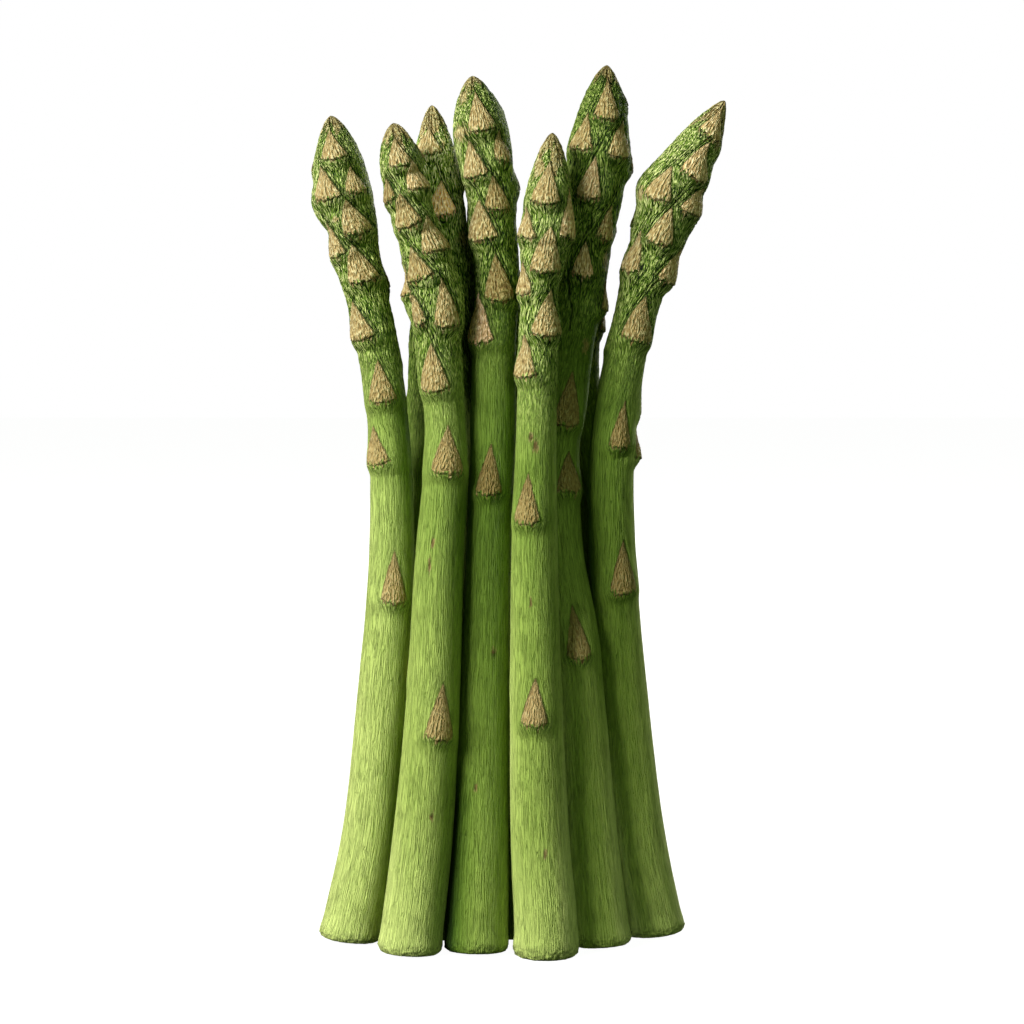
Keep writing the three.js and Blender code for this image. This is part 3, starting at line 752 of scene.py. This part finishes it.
def build_skin(name, seed):
    """One spear's fine skin as a closed mesh with its masks as attributes"""
    spear = SPEARS[name]
    scales = place_scales(name, seed)
    columns, crowding, steps = HIDDEN_MESH if name in HIDDEN else SEEN_MESH
    even = -math.pi + 2 * math.pi * np.arange(columns) / columns
    turns = even - crowding * np.sin(even)

    # rows: the cut face from its middle out, its rounded rim, and the side up to the tip
    level = cut_level(spear)
    cap_ways = np.array([0.15, 0.4, 0.65, 0.85])
    rim_ways = np.radians(np.arange(0, 90, 12))
    side_heights = row_heights(spear, scales, steps)
    side_heights = side_heights[side_heights > level + RIM_HEIGHT]
    rim_heights = level + RIM_HEIGHT * (1 - np.cos(rim_ways))
    rim_insets = RIM_INSET * (1 - np.sin(rim_ways))
    caps = len(cap_ways)
    heights = np.concatenate([level + 0 * cap_ways, rim_heights, side_heights])
    insets = np.concatenate([0 * cap_ways, rim_insets, 0 * side_heights])

    skin = Skin(name, seed, scales, heights, turns)
    reach = skin.radius + (skin.swelling + skin.relief) - insets[:, None]
    reach[:caps] = cap_ways[:, None] * reach[caps]
    tilts = CUT_TILT + (1 - CUT_TILT) * smooth_step(*CUT_TILT_REACH, heights)
    centre, right, back = ring_frame(spear, heights, tilts)
    rightward = right[:, None] * (reach * np.sin(turns))[..., None]
    backward = back[:, None] * (reach * np.cos(turns))[..., None]
    points = centre[:, None] + rightward - backward
    end_points = middle_at(spear, np.array([level, spear["tip"][0]]))
    vertices = np.concatenate([points.reshape(-1, 3), end_points]) * MM

    rows = len(heights)
    index = np.arange(rows * columns).reshape(rows, columns)
    after = np.roll(index, -1, axis=1)
    quads = np.stack([index[:-1], after[:-1], after[1:], index[1:]], -1).reshape(-1, 4)
    foot_fan = np.stack([np.full(columns, rows * columns), after[0], index[0]], -1)
    tip_fan = np.stack([index[-1], after[-1], np.full(columns, rows * columns + 1)], -1)
    faces = quads.tolist() + foot_fan.tolist() + tip_fan.tolist()
    mesh = bpy.data.meshes.new(name + "_skin")
    mesh.from_pydata(vertices.tolist(), [], faces)
    mesh.polygons.foreach_set("use_smooth", np.ones(len(faces), bool))

    def add_mask(label, values, foot_value, tip_value):
        layer = mesh.attributes.new(label, "FLOAT", "POINT")
        layer.data.foreach_set("value", np.append(values.ravel(), [foot_value, tip_value]))

    for label in MASKS:
        values = getattr(skin, label)
        add_mask(label, values, values[0].mean(), values[-1].mean())
    # the painted shade and light of the green, as its brightness
    add_mask("shade", painted_shade_at(name, heights, turns), PAINTED_SHADES[name][0][1], PAINTED_SHADES[name][-1][1])
    for label, (first, second) in skin.places().items():
        places = np.stack([first, second, skin.h], -1).reshape(-1, 3)
        places = np.concatenate([places, [[0, 0, 0], [0, 0, spear["tip"][0]]]])
        layer = mesh.attributes.new(label, "FLOAT_VECTOR", "POINT")
        layer.data.foreach_set("vector", places.ravel())
    unwrap(mesh, rows, columns)
    mesh.update()

    piece = add_object(name + "_skin", mesh)
    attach(piece, "root")
    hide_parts(name)
    return piece


# --- node graphs
def srgb(*colour):
    """A colour from 0 to 255 screen values"""
    parts = [value / 255 for value in colour]
    return (*(part / 12.92 if part <= 0.04045 else ((part + 0.055) / 1.055) ** 2.4 for part in parts), 1)


class Value:
    """An output of a node. Arithmetic on it adds the nodes that work the result out."""

    def __init__(self, graph, socket):
        self.graph, self.socket = graph, socket

    def __add__(self, other):
        return self.graph.math("ADD", self, other)

    def __sub__(self, other):
        return self.graph.math("SUBTRACT", self, other)

    def __mul__(self, other):
        return self.graph.math("MULTIPLY", self, other)

    def __pow__(self, other):
        return self.graph.math("POWER", self, other)


class Graph:
    """Short calls that build a node graph"""

    def __init__(self, tree):
        self.tree = tree
        tree.nodes.clear()

    def node(self, kind, inputs=(), **settings):
        """A new node with its settings, its plain inputs and its links"""
        node = self.tree.nodes.new("ShaderNode" + kind)
        for key, value in settings.items():
            setattr(node, key, value)
        for key, value in dict(inputs).items():
            if isinstance(value, Value):
                self.tree.links.new(value.socket, node.inputs[key])
            else:
                node.inputs[key].default_value = value
        return node

    def value(self, kind, inputs=(), output=0, **settings):
        """One output of a new node"""
        return Value(self, self.node(kind, inputs, **settings).outputs[output])

    def surface(self, looks):
        self.node("OutputMaterial", {"Surface": self.value("BsdfPrincipled", looks)})

    def attributes(self, output, *labels):
        return [self.value("Attribute", (), output, attribute_name=label) for label in labels]

    def math(self, operation, first, second=0.0):
        return self.value("Math", {0: first, 1: second}, operation=operation)

    def highest(self, first, second):
        return self.math("MAXIMUM", first, second)

    def lowest(self, first, second):
        return self.math("MINIMUM", first, second)

    def spread(self, value, low, high, top=1.0):
        """0 where the value is low, and top where it is high"""
        return self.value("MapRange", {0: value, 1: low, 2: high, 4: top}, clamp=True)

    def line(self, distance, middle, width):
        """1 along a line at a distance, fading out to both sides of it"""
        return self.spread(self.math("ABSOLUTE", distance - middle), width, LINE_CORE * width)

    def choose(self, factor, first, second):
        """A number that goes from the first to the second"""
        return self.value("Mix", {0: factor, 2: first, 3: second}, data_type="FLOAT")

    def mix(self, factor, first, second, blend="MIX"):
        """A colour that goes from the first to the second"""
        inputs = {0: factor, 6: first, 7: second}
        return self.value("Mix", inputs, 2, data_type="RGBA", blend_type=blend)

    def tinted(self, colour, red, green, blue):
        """A colour with its parts scaled"""
        tint = self.value("CombineColor", {0: red, 1: green, 2: blue})
        return self.mix(1.0, colour, tint, "MULTIPLY")

    def ramp(self, value, rows):
        """A colour read off rows of [value, red, green, blue]"""
        node = self.node("ValToRGB", {0: value})
        elements = node.color_ramp.elements
        while len(elements) < len(rows):
            elements.new(0.5)
        for element, (position, *colour) in zip(elements, rows):
            element.position = position
            element.color = srgb(*colour)
        return Value(self, node.outputs[0])

    def noise(self, place, across, along, detail, roughness):
        """Noise with so many blotches per mm across and along the stem"""
        stretched = self.value("Mapping", {"Vector": place, "Scale": (across, across, along)})
        inputs = {"Vector": stretched, "Scale": 1.0, "Detail": detail, "Roughness": roughness}
        return self.value("TexNoise", inputs, "Fac")

    def streaks(self, place, across, along, detail, contrast):
        """Dashes along the fibres, from 0 in the slits to 1 on the ridges between them"""
        return self.spread(self.noise(place, across, along, detail, 0.5), 0.5 - contrast, 0.5 + contrast)

    def strands(self, place, across, along, width):
        """Strands along the fibres, 1 in their middles, with thin slits of 0 between them"""
        offset = self.noise(place, across, along, 0.0, 0.5) - 0.5
        return self.spread(self.math("ABSOLUTE", offset), 0.2 * width, width)


# --- material
# Screen colours from the foot (0) to the tip (1) of the stem: [place, red, green, blue]
LIGHT_GREEN = [
    [0, 220, 234, 146], [0.25, 212, 228, 136], [0.5, 202, 222, 128], [0.68, 196, 217, 122],
    [0.85, 186, 208, 118],
]
DEEP_GREEN = [
    [0, 174, 196, 104], [0.3, 152, 176, 82], [0.55, 132, 160, 70], [0.8, 112, 142, 60], [1, 106, 136, 58],
]
# Screen colours from the slits (0) to the ridges between them (1): the head's green, with painted shade in
# the slits and painted highlights on the ridges
HEAD_GREEN = [
    [0.18, 2, 14, 0], [0.38, 34, 64, 6], [0.58, 90, 124, 34], [0.77, 158, 188, 78], [0.93, 240, 250, 166],
]
HUSK_TAN = [[0.08, 64, 44, 14], [0.26, 172, 146, 92], [0.55, 206, 182, 124], [0.84, 250, 238, 184]]
# A scale on the smooth stem keeps this much of its pattern over the plain tan
PLAIN_TAN, PATTERN_ON_STEM = (200, 176, 118), 0.45
# Colours of the painted shade in creases and grooves, on the green and on the tan. The tan one is also the
# brown of the dry flecks.
SHADE_GREEN, SHADE_AND_FLECK_TAN = (16, 32, 4), (92, 66, 28)
# The tallest spear, in mm
TALLEST = 220.0
# Patterns of the fibres. Streaks: how many per mm across and along, detail and contrast.
COARSE_RIDGES = 4.2, 0.6, 0.0, 0.13
FINE_RIDGES = 5.4, 1.4, 0.0, 0.12
STEM_GRAIN = 3.8, 0.13, 1.0, 0.11
HUSK_GRIT = 2.6, 0.75, 1.0, 0.18
# Slits: how many per mm across and along, and width
HEAD_SLITS = 2.9, 0.38, 0.06
STEM_SLITS = 3.0, 0.12, 0.05
# Blotches: how many per mm across and along, detail and roughness
STEM_FIBRE = 3.2, 0.16, 2.0, 0.6
STEM_THREADS = 1.5, 0.07, 2.0, 0.6
LEAF_RAGGED = 3.2, 0.4, 1.0, 0.5
# Outline of a leaf, and how dark its lines are: painted shade in the grooves and creases, and a painted
# shadow line under its base
RAGGED_BASE, RAGGED_SIDE, LEAF_EDGE = 6.0, 0.5, 0.07
LINE_CORE, LINE_DARK, CREASE_DARK, OUTLINE_DARK = 0.3, 0.8, 0.8, 0.15
BUMP_METRES = 0.0004
ROUGHNESS, SPECULAR = 0.62, 0.14


def new_material(label):
    """A material with its empty node graph"""
    material = bpy.data.materials.new(label)
    material.use_nodes = True
    return material, Graph(material.node_tree)


def make_asparagus():
    """Green fibrous skin that pales to the foot, with dry tan scales"""
    material, graph = new_material("asparagus_skin")
    straight, around = graph.attributes("Vector", "straight", "around")
    side, edge, leaf_light, margin, margin_on, dry, crease, rib, rough = graph.attributes("Fac", *MASKS)
    # shade: the painted shade and light, as a brightness of the colour
    (shade,) = graph.attributes("Fac", "shade")

    # patterns of the fibres
    fine_ridge = graph.streaks(straight, *FINE_RIDGES)
    ridge = graph.streaks(straight, *COARSE_RIDGES) * 0.36 + fine_ridge * 0.14
    ridge = ridge + graph.strands(straight, *HEAD_SLITS) * 0.5
    stem_slits = graph.strands(straight, *STEM_SLITS)
    grain = graph.streaks(straight, *STEM_GRAIN)
    grit = graph.streaks(straight, *HUSK_GRIT)

    # green of the smooth stem, and of the wrinkled head with painted shade in its slits and painted
    # highlights on its ridges
    tone = graph.noise(straight, *STEM_FIBRE) * 0.65 + graph.noise(straight, *STEM_THREADS) * 0.22
    tone = tone + 0.1 + rib * 0.25 + (grain - 0.42) * 0.4
    tone = tone + (fine_ridge - 0.5) * 0.12 + (stem_slits - 0.55) * 0.34
    tone = graph.spread(tone, 0.05, 0.95)
    up = graph.math("DIVIDE", graph.value("SeparateXYZ", {0: straight}, "Z"), TALLEST)
    stem_skin = graph.mix(tone, graph.ramp(up, DEEP_GREEN), graph.ramp(up, LIGHT_GREEN))
    head_skin = graph.ramp(ridge + (rib - 0.5) * 0.1, HEAD_GREEN)
    skin = graph.mix(rough, stem_skin, head_skin)
    # the green darkened or brightened by its painted shade and light, a deeper green where painted darker
    skin = graph.tinted(skin, shade ** PAINTED_SHADE_RED, shade, shade ** PAINTED_SHADE_BLUE)

    # the leaf's ragged outline, and the strands of dry skin
    ragged = graph.noise(around, *LEAF_RAGGED) - 0.5
    edge = edge + ragged * RAGGED_BASE
    side = side + ragged * RAGGED_SIDE
    on_leaf = graph.spread(graph.lowest(side, edge), -LEAF_EDGE, LEAF_EDGE)
    frayed = (dry + (ridge - 0.5) * 1.3) * graph.math("GREATER_THAN", dry, 0.05)
    is_tan = graph.highest(on_leaf, graph.spread(frayed, 0.45, 0.65) * 0.85)

    # tan of the dry scales under their painted shade and light: yellower where painted darker, less green
    # and yellow where painted brighter
    husk = graph.ramp(grit * 0.6 + ridge * 0.4, HUSK_TAN)
    husk = graph.mix(rough * (1 - PATTERN_ON_STEM) + PATTERN_ON_STEM, srgb(*PLAIN_TAN), husk)
    light = shade ** HUSK_PAINTED_SHADE * HUSK_LIGHT * leaf_light
    yellowing = graph.lowest(light, 1.0) ** HUSK_YELLOWING
    extra = graph.highest(leaf_light, 1.0) - 1.0
    green_part = light * (extra * -HUSK_LESS_GREEN + 1.0)
    blue_part = light * (yellowing * (extra * HUSK_MORE_BLUE + 1.0))
    husk = graph.tinted(husk, light, green_part, blue_part)

    # painted shade in the creases and grooves and under the leaves' bases, and the brown of the dry flecks
    lines = graph.highest(graph.line(margin, FIRST_GROOVE, 0.24), graph.line(margin, SECOND_GROOVE, 0.2))
    beneath = graph.spread(side, -0.15, 0.1, OUTLINE_DARK)
    outline = graph.line(edge, -0.2, 0.2) * beneath
    depth = graph.highest(crease * CREASE_DARK, graph.highest(lines * margin_on * LINE_DARK, outline))
    dark = graph.mix(is_tan, srgb(*SHADE_GREEN), srgb(*SHADE_AND_FLECK_TAN))
    colour = graph.mix(depth, graph.mix(is_tan, skin, husk), dark)

    # fine relief: deep on the head and the scales, shallow on the stem
    carved = graph.choose(on_leaf, ridge, grit) * 1.25 - depth + on_leaf * 0.5
    plain = stem_slits * 0.65 + grain * 0.4 + fine_ridge * 0.15
    relief = graph.choose(graph.highest(rough, is_tan), plain, carved)
    bump = graph.value("Bump", {"Height": relief, "Strength": 1.0, "Distance": BUMP_METRES})
    looks = {"Base Color": colour, "Roughness": ROUGHNESS, "Specular IOR Level": SPECULAR, "Normal": bump}
    graph.surface(looks)
    return material


# --- build the spears
asparagus = make_asparagus()
for seed, name in enumerate(SPEARS, 1):
    build_skin(name, seed).data.materials.append(asparagus)


# --- studio
FLOOR_REACH = 6
FLOOR_GREY, FLOOR_GLOW = (0.2, 0.2, 0.2, 1), 0.975
WHITE, WARM, GREENISH = (1, 1, 1, 1), (1, 0.985, 0.95), (0.78, 1, 0.55)
AMBIENT, AMBIENT_STRENGTH = (0.75, 1, 0.55, 1), 0.05
LIT_PLACE, CAMERA_AIM = (0, 0, 0.11), (-0.002, 0, 0.1084)


def add_floor():
    """A wide pale floor that gives no light back to the bundle"""
    mesh = bpy.data.meshes.new("floor")
    corners = [(x * FLOOR_REACH, y * FLOOR_REACH, 0) for x, y in ((-1, -1), (1, -1), (1, 1), (-1, 1))]
    mesh.from_pydata(corners, [], [(0, 1, 2, 3)])
    pale, graph = new_material("pale_floor")
    glow = {"Emission Color": WHITE, "Emission Strength": FLOOR_GLOW}
    graph.surface({"Base Color": FLOOR_GREY, "Roughness": 0.9, **glow})
    mesh.materials.append(pale)
    floor = add_object("floor", mesh)
    floor.visible_diffuse = False
    floor.visible_glossy = False


def add_facing(label, data, azimuth, elevation, distance, aim):
    """A light or camera that faces the aim. Azimuth 0 is in front, 90 on the right."""
    holder = add_object(label, data)
    turn, rise = math.radians(azimuth), math.radians(elevation)
    outward = np.array([math.sin(turn) * math.cos(rise), -math.cos(turn) * math.cos(rise), math.sin(rise)])
    holder.location = outward * distance + np.array(aim)
    holder.rotation_euler = (math.pi / 2 - rise, 0, turn)
    return holder


def add_light(label, azimuth, elevation, distance, size, watts, colour):
    """A square soft light that faces the bundle"""
    lamp = bpy.data.lights.new(label, "AREA")
    lamp.size = size
    lamp.energy = watts
    lamp.color = colour
    add_facing(label, lamp, azimuth, elevation, distance, LIT_PLACE)


def add_world():
    """A white background that the camera sees, and a faint green light from all sides"""
    world = bpy.data.worlds.new("studio")
    bpy.context.scene.world = world
    world.use_nodes = True
    sky = Graph(world.node_tree)
    seen = sky.value("Background", {"Color": WHITE, "Strength": 1.0})
    ambient = sky.value("Background", {"Color": AMBIENT, "Strength": AMBIENT_STRENGTH})
    is_seen = sky.value("LightPath", output="Is Camera Ray")
    both = sky.value("MixShader", {0: is_seen, 1: ambient, 2: seen})
    sky.node("OutputWorld", {"Surface": both})


add_floor()
add_light("key", -58, 26, 1.6, 0.9, 46, WARM)
add_light("fill", 30, 12, 1.8, 1.2, 6.5, GREENISH)
add_light("back", 160, 24, 1.7, 1.2, 25, WARM)
add_world()

# --- camera
camera_data = bpy.data.cameras.new("camera")
camera_data.lens = 85
camera_data.sensor_width = 36
camera_data.clip_start = 0.05
camera = add_facing("camera", camera_data, 0, 3.5, 0.6094, CAMERA_AIM)
bpy.context.scene.camera = camera
bpy.context.scene.view_settings.view_transform = "Standard"
